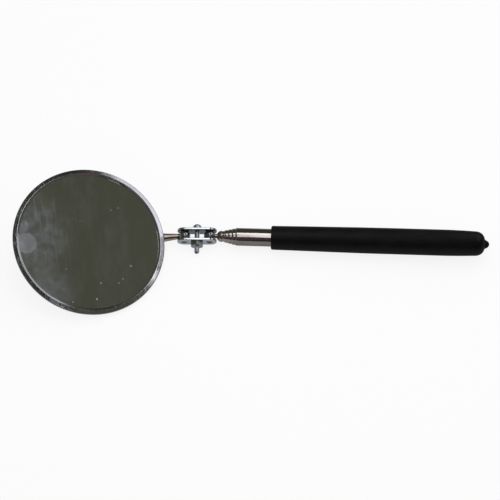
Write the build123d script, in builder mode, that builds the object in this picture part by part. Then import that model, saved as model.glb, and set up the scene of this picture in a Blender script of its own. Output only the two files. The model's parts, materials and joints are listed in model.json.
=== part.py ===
"""Telescoping inspection mirror: a round mirror on a double-ball clamp and a handle of nested tubes.

Millimetres, +Z up, lying on a level surface. +X runs along the handle to its tail. The origin is on the
handle's axis, in the middle of the grip's straight stretch.
"""

import os
from math import asin, atan2, cos, degrees, radians, sin, sqrt

from build123d import *

# How it lies: the turns between handle, clamp and mirror, in degrees
handle_lift = 1.9  # the tail lies higher than the handle's ball
clamp_roll = 16.0  # clamp about the handle's axis
handle_tilt = 1.6  # clamp across the handle, between its plates
mirror_swing = 14.3  # arm about the clamp screw's direction
mirror_tilt = 10.4  # arm across the clamp, between its plates

# Balls, and the clamp that squeezes them
ball_diameter = 6.2
ball_spacing = 13.5
ball_clearance = 0.02  # round a ball, in its seats and cups
plate_width = 7.7
plate_thickness = 1.2
plate_edge_rounding = 0.25
seat_bite = 0.7  # how far a ball stands into each plate
seat_hole_diameter = 3.5

# Clamp screw and nut
screw_diameter = 2.84
screw_hole_clearance = 0.13
thread_pitch = 0.635
thread_depth = 0.35
thread_clearance = 0.02
screw_tip_length = 3.9  # beyond the nut
screw_tip_chamfer = 0.4
screw_head_diameter = 4.7
screw_head_height = 3.05
screw_head_edge = 1.6  # straight side under the dome
screw_slot_width = 0.8
screw_slot_depth = 0.9
nut_across_flats = 6.35
nut_height = 2.4
nut_chamfer = 0.45

# Ball stud and tip piece at the front of the handle
stud_diameter = 2.4
stud_neck = 1.0  # ball to tip piece
stud_seat_depth = 5.0
stud_fit = 0.01
tip_diameter = 6.05
tip_length = 2.5
tip_face_diameter = 2.7
tip_nose_length = 2.3
tip_spigot_length = 4.5
tip_fit = 0.02
crimp_length = 1.0
crimp_depth = 0.12
tip_tube_showing = 0.55  # between the crimp and the next tube

# Nested tubes, the outer one first
outer_diameter = 9.55
outer_length = 130.0
tube_wall = 0.3
tube_gap = 0.15  # from a tube to the bore round it
tube_showing = 1.97  # of each closed tube in front of the next
nose_length = 2.2
nose_clearance = 0.03
nose_curve_length = 1.0
nose_curve_depth = 0.3
section_count = 5

# Split friction sleeve in a rolled neck at the rear of each sliding tube
sleeve_length = 5.0
sleeve_wall = 0.3
sleeve_clearance = 0.03
sleeve_play = 0.1
sleeve_slot_width = 0.6
neck_taper = 0.3
rear_lip_length = 1.0
rear_gap = 0.5  # behind a closed tube

# Plug in the outer tube's rear end
plug_length = 6.0
plug_flange = 0.8
plug_fit = 0.02
plug_chamfer = 0.3

# Dipped grip
grip_front_wall = 1.665
grip_full_wall = 2.275
grip_front_rounding = 0.9
grip_front_slope = 0.011
grip_fit = 0.02
bare_tube_length = 19.1  # from the outer tube's front to the grip
grip_straight_length = 25.0
grip_rear_taper_length = 18.0
grip_rear_taper_depth = 0.45
grip_end_length = 5.27
grip_end_wall = 3.42
nub_length = 2.1
nub_diameter = 5.6
nub_depth = 0.9  # sunk into the rounded end
nub_offset = 0.35

# Mirror, from the case's back to the glass
glass_diameter = 78.7
glass_thickness = 2.0
silvering_thickness = 0.1
silvering_margin = 0.4
pad_thickness = 0.7
pad_margin = 0.8
case_sheet = 0.5
case_corner = 1.2
case_play = 0.4  # round the glass
fold_radius = 0.6
fold_overhang = 0.8  # beyond the case's wall
fold_drop = 0.2  # fold's centre under the glass's face
ridge_width = 2.52  # rim to the ridge round the glass
ridge_height = 0.79  # over the glass's face
ridge_radius = 0.4
lip_width = 1.13  # ridge to the lip's edge
lip_edge = 0.25  # left square where the lip meets the glass
lip_clearance = 0.02

# Arm from the ball to the case's back, and its rivets
arm_reach = 12.47  # ball to the case's rim
arm_front_gap = 0.1
arm_front_diameter = 3.0
arm_full_diameter = 4.6
arm_round_length = 7.9
foot_width = 7.0
foot_thickness = 1.6
foot_corner = 0.5
arm_flat = 0.05  # half of each flat where the round stretch turns into the foot
foot_length = 12.8  # flat stretch before its rounded end
collar_length = 0.5
swivel_pin_diameter = 2.0
swivel_clearance = 0.03
rivet_diameter = 2.0
rivet_fit = 0.02
rivet_head_diameter = 3.6
rivet_head_height = 0.9
rivet_tail_height = 0.5
rivet_spacing = 7.0
rivet_front_distance = 5.0  # from the flat's front
rivet_pocket_clearance = 0.3

# Stations along the handle, from the centre of its ball
ball_radius = ball_diameter / 2
tip_front = ball_radius + stud_neck
tip_tube_front = tip_front + tip_length
inner_front = tip_tube_front + crimp_length + tip_tube_showing
outer_front = inner_front + (section_count - 2) * tube_showing
outer_rear = outer_front + outer_length
grip_front = outer_front + bare_tube_length
grip_inner_end = outer_rear + plug_flange + grip_fit
grip_end = grip_inner_end + grip_end_wall
grip_shoulder = grip_end - grip_end_length
straight_end = grip_shoulder - grip_rear_taper_length
straight_start = straight_end - grip_straight_length
grip_middle = (straight_start + straight_end) / 2

# Frames: each has its origin on a ball or on the clamp screw, and +X towards the handle's tail
handle = Plane(Rot(Y=-handle_lift) * Pos(X=-grip_middle))
handle_axis = Axis(handle.origin, handle.x_dir)
clamp = Plane(handle.location * Rot(X=clamp_roll) * Rot(Z=handle_tilt) * Pos(X=-ball_spacing / 2))
arm = Plane(clamp.location * Pos(X=-ball_spacing / 2) * Rot(Y=mirror_swing) * Rot(Z=mirror_tilt))
arm_axis = Axis(arm.origin, arm.x_dir)

os.makedirs("parts", exist_ok=True)


# ---------------------------------------------------------------- handle: outer tube, plug and grip

tube_step = 2 * (tube_wall + tube_gap)
neck_length = sleeve_length + 2 * sleeve_play
neck_depth = sleeve_wall + 2 * sleeve_clearance - tube_gap
rear_pitch = rear_lip_length + 2 * neck_taper + neck_length + rear_gap
plug_front = outer_rear - plug_length


def tube_radius(section):
    """Outside radius of a tube, section 1 being the outer one."""
    return (outer_diameter - (section - 1) * tube_step) / 2


def tube_front(section):
    """Station of a tube's front edge when the handle is closed."""
    return outer_front - (section - 1) * tube_showing


def tube_rear(section):
    """Station of a sliding tube's rear edge when the handle is closed."""
    return plug_front - rear_gap - (section - 2) * rear_pitch


def neck_start(section):
    """Station of the front of the neck that holds a sliding tube's sleeve."""
    return tube_rear(section) - rear_lip_length - neck_taper - neck_length


def nose_curve(section):
    """Control points of the rounded outside of a tube's nose, from its front edge to full diameter."""
    front = tube_front(section)
    outside = tube_radius(section)
    return [
        (front, outside - nose_curve_depth),
        (front, outside - nose_curve_depth / 3),
        (front + nose_curve_length / 2, outside),
        (front + nose_curve_length, outside),
    ]


def nose_bore(section):
    """Inside of a tube's nose, rolled in to guide the next tube: bore to front edge."""
    front = tube_front(section)
    bore = tube_radius(section) - tube_wall
    guide = tube_radius(section + 1) + nose_clearance
    rear = front + nose_length
    return [(rear, bore), (rear, guide), (front, guide), nose_curve(section)[0]]


def necked_rear(section):
    """Outline of a sliding tube's rear end: outside forwards to rearwards, then back along the bore."""
    outside = tube_radius(section)
    neck = outside - neck_depth
    start = neck_start(section)
    end = start + neck_length
    rear = tube_rear(section)
    outline = [(start - neck_taper, outside), (start, neck), (end, neck), (end + neck_taper, outside)]
    bore_side = [(station, radius - tube_wall) for station, radius in reversed(outline)]
    return outline + [(rear, outside), (rear, outside - tube_wall)] + bore_side


with BuildPart() as outer_tube:
    with BuildSketch(handle):
        with BuildLine():
            Bezier(*nose_curve(1))
            Polyline(
                nose_curve(1)[-1],
                (outer_rear, tube_radius(1)),
                (outer_rear, tube_radius(1) - tube_wall),
                *nose_bore(1),
            )
        make_face()
    revolve(axis=handle_axis)
outer_tube.part.label = "outer_tube"
export_step(outer_tube.part, "parts/outer_tube.step")

with BuildPart() as rear_plug:
    with BuildSketch(handle):
        plug_radius = tube_radius(1) - tube_wall - plug_fit
        with BuildLine():
            Polyline(
                (plug_front, 0),
                (plug_front, plug_radius),
                (outer_rear, plug_radius),
                (outer_rear, tube_radius(1)),
                (outer_rear + plug_flange, tube_radius(1)),
                (outer_rear + plug_flange, 0),
                close=True,
            )
        make_face()
        chamfer(vertices().group_by(Axis.X)[0].sort_by(Axis.Y)[-1], plug_chamfer)
    revolve(axis=handle_axis)
rear_plug.part.label = "rear_plug"
export_step(rear_plug.part, "parts/rear_plug.step")

# The grip swells gently to its straight stretch, then rounds off into the drip left by the dipping.
with BuildPart() as grip:
    grip_bore = tube_radius(1) + grip_fit
    front_radius = tube_radius(1) + grip_front_wall
    full_radius = tube_radius(1) + grip_full_wall
    shoulder_radius = full_radius - grip_rear_taper_depth
    swell = straight_start - grip_front
    with BuildSketch(handle):
        with BuildLine():
            Polyline(
                (grip_end, 0),
                (grip_inner_end, 0),
                (grip_inner_end, grip_bore),
                (grip_front, grip_bore),
                (grip_front, front_radius),
            )
            Bezier(
                (grip_front, front_radius),
                (grip_front + swell / 3, front_radius + grip_front_slope * swell / 3),
                (straight_start - swell / 3, full_radius),
                (straight_start, full_radius),
            )
            Line((straight_start, full_radius), (straight_end, full_radius))
            Bezier(
                (straight_end, full_radius),
                (straight_end + grip_rear_taper_length / 2, full_radius),
                (grip_shoulder - grip_end_length / 3, shoulder_radius + grip_rear_taper_depth / 6),
                (grip_shoulder, shoulder_radius),
            )
            Bezier(
                (grip_shoulder, shoulder_radius),
                (grip_shoulder + grip_end_length / 2, shoulder_radius - grip_rear_taper_depth / 4),
                (grip_end, shoulder_radius * 3 / 4),
                (grip_end, 0),
            )
        make_face()
        fillet(vertices().group_by(Axis.X)[0].sort_by(Axis.Y)[-1], grip_front_rounding)
    revolve(axis=handle_axis)
    nub_plane = Plane(handle.location * Pos(Y=-nub_offset))
    with BuildSketch(nub_plane):
        nub_start = grip_end - nub_depth
        nub_end = grip_end + nub_length
        with BuildLine():
            Bezier(
                (nub_start, nub_diameter / 2),
                (nub_start + (nub_end - nub_start) / 2, nub_diameter * 3 / 8),
                (nub_end, nub_diameter * 2 / 9),
                (nub_end, 0),
            )
            Polyline((nub_end, 0), (nub_start, 0), (nub_start, nub_diameter / 2))
        make_face()
    revolve(axis=Axis(nub_plane.origin, nub_plane.x_dir))
grip.part.label = "grip"
export_step(grip.part, "parts/grip.step")


# ---------------------------------------------------------------- sliding tubes and their sleeves

for section in range(2, section_count):
    with BuildPart() as sliding_tube:
        with BuildSketch(handle):
            with BuildLine():
                Bezier(*nose_curve(section))
                Polyline(nose_curve(section)[-1], *necked_rear(section), *nose_bore(section))
            make_face()
        revolve(axis=handle_axis)
    sliding_tube.part.label = f"tube_{section}"
    export_step(sliding_tube.part, f"parts/tube_{section}.step")

# The innermost tube has no nose: its front is crimped into the tip piece's groove.
tip_radius = tube_radius(section_count)
crimp_end = tip_tube_front + crimp_length
crimped_radius = tip_radius - crimp_depth
with BuildPart() as tip_tube:
    with BuildSketch(handle):
        with BuildLine():
            Polyline(
                (crimp_end + crimp_depth, tip_radius - tube_wall),
                (crimp_end, crimped_radius - tube_wall),
                (tip_tube_front, crimped_radius - tube_wall),
                (tip_tube_front, crimped_radius),
                (crimp_end, crimped_radius),
                (crimp_end + crimp_depth, tip_radius),
                *necked_rear(section_count),
                close=True,
            )
        make_face()
    revolve(axis=handle_axis)
tip_tube.part.label = f"tube_{section_count}"
export_step(tip_tube.part, f"parts/tube_{section_count}.step")

for section in range(2, section_count + 1):
    with BuildPart() as sleeve:
        with BuildSketch(handle):
            neck_radius = tube_radius(section) - neck_depth
            sleeve_middle = neck_start(section) + neck_length / 2
            with Locations((sleeve_middle, neck_radius + sleeve_clearance + sleeve_wall / 2)):
                Rectangle(sleeve_length, sleeve_wall)
        revolve(axis=handle_axis)
        with Locations(Plane(handle.location * Pos(sleeve_middle, 0, tube_radius(section)))):
            Box(sleeve_length, sleeve_slot_width, tube_radius(section), mode=Mode.SUBTRACT)
    sleeve.part.label = f"friction_sleeve_{section}"
    export_step(sleeve.part, f"parts/friction_sleeve_{section}.step")


# ---------------------------------------------------------------- tip piece and the handle's ball

with BuildPart() as tip_ferrule:
    spigot_end = tip_tube_front + tip_spigot_length
    spigot_radius = tip_radius - tube_wall - tip_fit
    groove_radius = crimped_radius - tube_wall - tip_fit
    with BuildSketch(handle):
        with BuildLine():
            Bezier(
                (tip_front, tip_face_diameter / 2),
                (tip_front, tip_face_diameter * 2 / 3),
                (tip_front + tip_nose_length * 2 / 5, tip_diameter / 2),
                (tip_front + tip_nose_length, tip_diameter / 2),
            )
            Polyline(
                (tip_front + tip_nose_length, tip_diameter / 2),
                (tip_tube_front, tip_diameter / 2),
                (tip_tube_front, groove_radius),
                (crimp_end, groove_radius),
                (crimp_end + crimp_depth, spigot_radius),
                (spigot_end, spigot_radius),
                (spigot_end, stud_diameter / 2 + stud_fit),
                (tip_front, stud_diameter / 2 + stud_fit),
                (tip_front, tip_face_diameter / 2),
            )
        make_face()
    revolve(axis=handle_axis)
tip_ferrule.part.label = "tip_ferrule"
export_step(tip_ferrule.part, "parts/tip_ferrule.step")

# A ball is swaged on its stud: the stud ends in a cup that fits the ball.
with BuildPart() as handle_ball_stud:
    with BuildSketch(handle):
        with BuildLine():
            Polyline(
                (0, 0),
                (0, stud_diameter / 2),
                (tip_front + stud_seat_depth, stud_diameter / 2),
                (tip_front + stud_seat_depth, 0),
                close=True,
            )
        make_face()
    revolve(axis=handle_axis)
    with Locations(handle.origin):
        Sphere(ball_radius + ball_clearance, mode=Mode.SUBTRACT)
handle_ball_stud.part.label = "handle_ball_stud"
export_step(handle_ball_stud.part, "parts/handle_ball_stud.step")

for name, place in (("handle_ball", handle.location), ("mirror_ball", arm.location)):
    with BuildPart() as ball:
        with Locations(place):
            Sphere(ball_radius)
    ball.part.label = name
    export_step(ball.part, f"parts/{name}.step")


# ---------------------------------------------------------------- clamp: two plates, screw and nut

plate_inside = ball_radius - seat_bite
plate_outside = plate_inside + plate_thickness
screw_radius = screw_diameter / 2
screw_axis = Axis(clamp.origin, clamp.y_dir)


def clamp_side(side, distance):
    """Plane across the screw at a distance from its middle, facing outwards on one side."""
    origin = clamp.from_local_coords((0, side * distance, 0))
    return Plane(origin, x_dir=clamp.x_dir, z_dir=clamp.y_dir * side)


for name, side in (("clamp_plate_head", 1), ("clamp_plate_nut", -1)):
    with BuildPart() as plate:
        with BuildSketch(clamp_side(side, plate_inside)):
            SlotCenterToCenter(ball_spacing, plate_width)
        extrude(amount=plate_thickness)
        fillet(plate.edges().group_by(Axis(clamp.origin, clamp.y_dir * side))[-1], plate_edge_rounding)
        with BuildSketch(clamp_side(side, plate_inside)):
            Circle(screw_radius + screw_hole_clearance)
            with Locations((-ball_spacing / 2, 0), (ball_spacing / 2, 0)):
                Circle(seat_hole_diameter / 2)
        extrude(amount=plate_thickness, mode=Mode.SUBTRACT)
        with Locations(handle.origin, arm.origin):
            Sphere(ball_radius + ball_clearance, mode=Mode.SUBTRACT)
    plate.part.label = name
    export_step(plate.part, f"parts/{name}.step")

# The screw is drawn from its head to its tip, with its thread as rings.
with BuildPart() as clamp_screw:
    head_top = -plate_outside - screw_head_height
    screw_tip = plate_outside + nut_height + screw_tip_length
    thread_start = -plate_inside
    thread_count = int((screw_tip - screw_tip_chamfer - thread_start) / thread_pitch)
    rings = [thread_start + turn * thread_pitch for turn in range(thread_count)]
    with BuildSketch(Plane(clamp.origin, x_dir=-clamp.y_dir, z_dir=clamp.z_dir)):
        with BuildLine():
            TangentArc(
                (head_top, 0),
                (-plate_outside - screw_head_edge, screw_head_diameter / 2),
                tangent=(0, 1),
            )
            thread = [
                point
                for ring in rings
                for point in ((ring, screw_radius), (ring + thread_pitch / 2, screw_radius - thread_depth))
            ]
            Polyline(
                (-plate_outside - screw_head_edge, screw_head_diameter / 2),
                (-plate_outside, screw_head_diameter / 2),
                (-plate_outside, screw_radius),
                *thread,
                (rings[-1] + thread_pitch, screw_radius),
                (screw_tip - screw_tip_chamfer, screw_radius),
                (screw_tip, screw_radius - screw_tip_chamfer),
                (screw_tip, 0),
                (head_top, 0),
            )
        make_face()
    revolve(axis=screw_axis)
    with BuildSketch(clamp_side(1, -head_top)):
        Rectangle(screw_head_diameter, screw_slot_width)
    extrude(amount=-screw_slot_depth, mode=Mode.SUBTRACT)
clamp_screw.part.label = "clamp_screw"
export_step(clamp_screw.part, "parts/clamp_screw.step")

with BuildPart() as clamp_nut:
    with BuildSketch(clamp_side(-1, plate_outside)):
        RegularPolygon(nut_across_flats / 2, 6, major_radius=False, rotation=30)
    extrude(amount=nut_height)
    with BuildSketch(Plane(clamp.origin, x_dir=-clamp.y_dir, z_dir=clamp.z_dir)):
        nut_corner = nut_across_flats / sqrt(3)
        nut_bore = screw_radius + thread_clearance
        nut_outside = plate_outside + nut_height
        with BuildLine():
            Polyline(
                (plate_outside, nut_bore),
                (plate_outside, nut_corner),
                (nut_outside - nut_chamfer, nut_corner),
                (nut_outside, nut_corner - nut_chamfer),
                (nut_outside, nut_bore),
                close=True,
            )
        make_face()
    revolve(axis=screw_axis, mode=Mode.INTERSECT)
clamp_nut.part.label = "clamp_nut"
export_step(clamp_nut.part, "parts/clamp_nut.step")


# ---------------------------------------------------------------- mirror: case, pad and silvered glass

glass_radius = glass_diameter / 2
wall_inside = glass_radius + case_play
wall_outside = wall_inside + case_sheet
rim_radius = wall_outside + fold_overhang
mirror_reach = rim_radius + arm_reach
silvering_back = case_sheet + pad_thickness
glass_back = silvering_back + silvering_thickness
glass_face = glass_back + glass_thickness
lip_foot = glass_face + lip_clearance

# The case's back lies on the arm's foot; its section plane has +X outwards and +Y towards the glass.
mirror_back = Plane(arm.location * Pos(-mirror_reach, 0, foot_thickness / 2))
case_section = Plane(mirror_back.origin, x_dir=mirror_back.x_dir, z_dir=-mirror_back.y_dir)
mirror_axis = Axis(mirror_back.origin, mirror_back.z_dir)
foot_front = -arm_reach + (wall_outside - rim_radius) - case_corner / 2
rivet_stations = [foot_front - rivet_front_distance - turn * rivet_spacing for turn in range(2)]
rivet_points = [(station + mirror_reach, 0) for station in rivet_stations]


fold_centre = (rim_radius - fold_radius, glass_face - fold_drop)
ridge_centre = (rim_radius - ridge_width, glass_face + ridge_height - ridge_radius)
wall_top = fold_centre[1] - sqrt(fold_radius**2 - (wall_outside - fold_centre[0]) ** 2)
lip_radius = ridge_centre[0] - lip_width


def around(centre, radius, angle):
    """Point of a circle at an angle in degrees, from outwards towards the glass's side."""
    return (centre[0] + radius * cos(radians(angle)), centre[1] + radius * sin(radians(angle)))


# Slopes of the sheet from the fold up to the ridge, and from the ridge down to the lip's edge
span = (fold_centre[0] - ridge_centre[0], ridge_centre[1] - fold_centre[1])
fold_slope = degrees(
    atan2(span[1], span[0]) - asin((fold_radius - ridge_radius) / sqrt(span[0] ** 2 + span[1] ** 2))
)
lip_span = (ridge_centre[0] - lip_radius, ridge_centre[1] - lip_foot - lip_edge)
lip_slope = degrees(
    atan2(lip_span[1], lip_span[0]) + asin(ridge_radius / sqrt(lip_span[0] ** 2 + lip_span[1] ** 2))
)

with BuildPart() as mirror_case:
    sheet_inside = fold_centre[0] - fold_radius + case_sheet
    with BuildSketch(case_section):
        with BuildLine():
            FilletPolyline(
                (0, 0),
                (wall_outside, 0),
                (wall_outside, wall_top),
                radius=case_corner,
            )
            ThreePointArc(
                (wall_outside, wall_top),
                around(fold_centre, fold_radius, 0),
                around(fold_centre, fold_radius, 90 - fold_slope),
            )
            Line(
                around(fold_centre, fold_radius, 90 - fold_slope),
                around(ridge_centre, ridge_radius, 90 - fold_slope),
            )
            ThreePointArc(
                around(ridge_centre, ridge_radius, 90 - fold_slope),
                around(ridge_centre, ridge_radius, 90),
                around(ridge_centre, ridge_radius, 90 + lip_slope),
            )
            Polyline(
                around(ridge_centre, ridge_radius, 90 + lip_slope),
                (lip_radius, lip_foot + lip_edge),
                (lip_radius, lip_foot),
                (ridge_centre[0] - ridge_radius, lip_foot),
                (ridge_centre[0], ridge_centre[1] + ridge_radius - case_sheet - lip_clearance),
                (sheet_inside, fold_centre[1] + fold_radius - case_sheet),
                (sheet_inside, fold_centre[1] - fold_radius + case_sheet),
                (wall_inside, wall_top + case_sheet / 2),
            )
            FilletPolyline(
                (wall_inside, wall_top + case_sheet / 2),
                (wall_inside, case_sheet),
                (0, case_sheet),
                radius=case_corner - case_sheet,
            )
            Line((0, case_sheet), (0, 0))
        make_face()
    revolve(axis=mirror_axis)
    with BuildSketch(mirror_back):
        with Locations(*rivet_points):
            Circle(rivet_diameter / 2 + rivet_fit)
    extrude(amount=case_sheet, mode=Mode.SUBTRACT)
mirror_case.part.label = "mirror_case"
export_step(mirror_case.part, "parts/mirror_case.step")

with BuildPart() as backing_pad:
    with BuildSketch(mirror_back.offset(case_sheet)):
        Circle(glass_radius - pad_margin)
        with Locations(*rivet_points):
            Circle(rivet_head_diameter / 2 + rivet_pocket_clearance, mode=Mode.SUBTRACT)
    extrude(amount=pad_thickness)
backing_pad.part.label = "backing_pad"
export_step(backing_pad.part, "parts/backing_pad.step")

with BuildPart() as mirror_silvering:
    with BuildSketch(mirror_back.offset(silvering_back)):
        Circle(glass_radius - silvering_margin)
    extrude(amount=silvering_thickness)
mirror_silvering.part.label = "mirror_silvering"
export_step(mirror_silvering.part, "parts/mirror_silvering.step")

with BuildPart() as mirror_glass:
    with BuildSketch(mirror_back.offset(glass_back)):
        Circle(glass_radius)
    extrude(amount=glass_thickness)
mirror_glass.part.label = "mirror_glass"
export_step(mirror_glass.part, "parts/mirror_glass.step")


# ---------------------------------------------------------------- arm, its swivel pin and rivets

collar_end = ball_radius + collar_length
arm_front = collar_end + arm_front_gap
round_end = arm_front + arm_round_length
swivel_end = arm_reach

with BuildPart() as mirror_ball_pin:
    with BuildSketch(arm):
        with BuildLine():
            Polyline(
                (0, 0),
                (0, arm_front_diameter / 2),
                (-collar_end, arm_front_diameter / 2),
                (-collar_end, swivel_pin_diameter / 2),
                (-swivel_end, swivel_pin_diameter / 2),
                (-swivel_end, 0),
                close=True,
            )
        make_face()
    revolve(axis=arm_axis)
    with Locations(arm.origin):
        Sphere(ball_radius + ball_clearance, mode=Mode.SUBTRACT)
mirror_ball_pin.part.label = "mirror_ball_pin"
export_step(mirror_ball_pin.part, "parts/mirror_ball_pin.step")

# The arm tapers from the foot to the ball. Its rear is hammered flat to lie on the case's back.
with BuildPart() as mirror_arm:
    with BuildSketch(arm):
        with BuildLine():
            Polyline(
                (-arm_front, 0),
                (-arm_front, arm_front_diameter / 2),
                (-round_end, arm_full_diameter / 2),
                (-round_end, 0),
                close=True,
            )
        make_face()
    revolve(axis=arm_axis)
    with BuildSketch(Plane(arm.from_local_coords((-round_end, 0, 0)), x_dir=arm.y_dir, z_dir=-arm.x_dir)):
        RectangleRounded(arm_full_diameter, arm_full_diameter, arm_full_diameter / 2 - arm_flat)
    with BuildSketch(Plane(arm.from_local_coords((foot_front, 0, 0)), x_dir=arm.y_dir, z_dir=-arm.x_dir)):
        RectangleRounded(foot_width, foot_thickness, foot_corner)
    loft()
    with BuildSketch(arm.offset(-foot_thickness / 2)):
        with Locations((foot_front - foot_length / 2, 0)):
            Rectangle(foot_length, foot_width)
        with Locations((foot_front - foot_length, 0)):
            Circle(foot_width / 2)
    extrude(amount=foot_thickness)
    with BuildSketch(arm.offset(-foot_thickness / 2)):
        with Locations(*[(station, 0) for station in rivet_stations]):
            Circle(rivet_diameter / 2 + rivet_fit)
    extrude(amount=foot_thickness, mode=Mode.SUBTRACT)
    with BuildSketch(Plane(arm.origin, x_dir=arm.y_dir, z_dir=-arm.x_dir)):
        Circle(swivel_pin_diameter / 2 + swivel_clearance)
    extrude(amount=swivel_end + arm_front_gap, mode=Mode.SUBTRACT)
mirror_arm.part.label = "mirror_arm"
export_step(mirror_arm.part, "parts/mirror_arm.step")

for number, station in enumerate(rivet_stations, start=1):
    with BuildPart() as rivet:
        rivet_plane = Plane(arm.location * Pos(station, 0, -foot_thickness / 2))
        rivet_top = foot_thickness + case_sheet
        with BuildSketch(Plane(rivet_plane.origin, x_dir=rivet_plane.x_dir, z_dir=-rivet_plane.y_dir)):
            with BuildLine():
                TangentArc(
                    (0, -rivet_head_height),
                    (rivet_head_diameter / 2, 0),
                    tangent=(1, 0),
                )
                Polyline(
                    (rivet_head_diameter / 2, 0),
                    (rivet_diameter / 2, 0),
                    (rivet_diameter / 2, rivet_top),
                    (rivet_head_diameter / 2, rivet_top),
                    (rivet_head_diameter / 2, rivet_top + rivet_tail_height),
                    (0, rivet_top + rivet_tail_height),
                    (0, -rivet_head_height),
                )
            make_face()
        revolve(axis=Axis(rivet_plane.origin, rivet_plane.z_dir))
    rivet.part.label = f"arm_rivet_{number}"
    export_step(rivet.part, f"parts/arm_rivet_{number}.step")
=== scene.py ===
"""Telescoping inspection mirror: a silvered glass in a folded steel case, carried by a ball-jointed
clamp on a five-section tube handle with a dipped grip. Each section below finishes one piece of its
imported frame."""

import json
import math

import bmesh
import bpy
from mathutils import Matrix, Vector, noise
from mathutils.geometry import interpolate_bezier


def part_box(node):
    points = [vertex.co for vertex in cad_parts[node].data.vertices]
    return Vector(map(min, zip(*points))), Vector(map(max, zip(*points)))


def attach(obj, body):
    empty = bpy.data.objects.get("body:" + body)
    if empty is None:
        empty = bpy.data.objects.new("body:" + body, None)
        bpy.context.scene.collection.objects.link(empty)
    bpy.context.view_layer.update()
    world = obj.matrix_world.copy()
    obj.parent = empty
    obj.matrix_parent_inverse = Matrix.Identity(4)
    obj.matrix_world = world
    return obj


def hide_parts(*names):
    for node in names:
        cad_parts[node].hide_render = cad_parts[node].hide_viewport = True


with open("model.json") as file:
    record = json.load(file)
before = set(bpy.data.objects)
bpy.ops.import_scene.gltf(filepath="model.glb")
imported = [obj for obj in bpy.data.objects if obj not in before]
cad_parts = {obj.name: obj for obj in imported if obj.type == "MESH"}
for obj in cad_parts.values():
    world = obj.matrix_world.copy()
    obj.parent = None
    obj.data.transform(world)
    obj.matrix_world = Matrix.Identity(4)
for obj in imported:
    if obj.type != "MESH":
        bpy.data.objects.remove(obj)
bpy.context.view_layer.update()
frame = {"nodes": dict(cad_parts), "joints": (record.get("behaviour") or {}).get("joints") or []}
nodes = frame["nodes"]
joints = {joint["name"]: joint for joint in frame["joints"]}

# --- Mirror case ---------------------------------------------------------------------------------
# A round dish pressed from half-millimetre steel. Its wall is folded over the edge of the glass as a
# shallow slope with a ridge inside it, and the whole is polished and chromium plated.

MM = 0.001
ARM_REACH = 53.52
CASE_BACK = 0.8
FOLD = (3.1, 40.45)
RIDGE = (3.63, 38.83)
FOLD_SLOPE = 11.37
LIP_SLOPE = 26.67
RIDGE_RADIUS = 0.4


class Outline:
    """A section drawn on point by point: x runs along a turned piece's axis and z out from it."""

    def __init__(self, x, z):
        self.mesh = bmesh.new()
        self.pen = self.mesh.verts.new((x, 0, z))

    def line(self, *points):
        for x, z in points:
            self.pen = bmesh.ops.extrude_vert_indiv(self.mesh, verts=[self.pen])["verts"][0]
            self.pen.co = (x, 0, z)
        return self

    def straight(self, x, z, hold=0.06):
        """A line with a point close to each end, so that the face it sweeps shades evenly."""
        start, end = self.pen.co.xz, Vector((x, z))
        step = (end - start).normalized() * hold
        return self.line(start + step, end - step, end)

    def curve(self, near, far, end, steps=8):
        """A curve that leaves towards one point and arrives from another."""
        corners = [self.pen.co.xz, Vector(near), Vector(far), Vector(end)]
        return self.line(*interpolate_bezier(*corners, steps + 1)[1:])

    def arc(self, centre, degrees, steps=6):
        """Part of a circle about a centre, from x towards z where the angle is positive."""
        turned = bmesh.ops.spin(
            self.mesh,
            geom=[self.pen],
            cent=(centre[0], 0, centre[1]),
            axis=(0, -1, 0),
            angle=math.radians(degrees),
            steps=steps,
            use_merge=False,
        )
        self.pen = turned["geom_last"][0]
        return self

    def turned(self, steps=64):
        """The closed mesh that the section sweeps in one turn about x."""
        section = [*self.mesh.verts, *self.mesh.edges]
        bmesh.ops.spin(
            self.mesh,
            geom=section,
            cent=(0, 0, 0),
            axis=(1, 0, 0),
            angle=2 * math.pi,
            steps=steps,
            use_merge=True,
        )
        bmesh.ops.remove_doubles(self.mesh, verts=self.mesh.verts, dist=0.0005)
        bmesh.ops.recalc_face_normals(self.mesh, faces=self.mesh.faces)
        return self.mesh


def place_frame(origin, x_axis, z_axis):
    """A piece's own frame from its origin and two square axes."""
    x = Vector(x_axis).normalized()
    z = Vector(z_axis).normalized()
    turn = Matrix((x, z.cross(x), z)).transposed().to_4x4()
    return Matrix.Translation(Vector(origin)) @ turn


def fit(name, mesh, place, material, body, node, crease=32.0):
    """Puts a mesh drawn in millimetres in its place, on the body that carries it, for its CAD node."""
    bmesh.ops.transform(mesh, matrix=place @ Matrix.Scale(MM, 4), verts=mesh.verts)
    for face in mesh.faces:
        face.smooth = True
    for edge in mesh.edges:
        edge.smooth = edge.calc_face_angle(0.0) < math.radians(crease)
    piece = bpy.data.objects.new(name, bpy.data.meshes.new(name))
    mesh.to_mesh(piece.data)
    mesh.free()
    piece.data.materials.append(material)
    bpy.context.scene.collection.objects.link(piece)
    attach(piece, body)
    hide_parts(node)
    return piece


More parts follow.
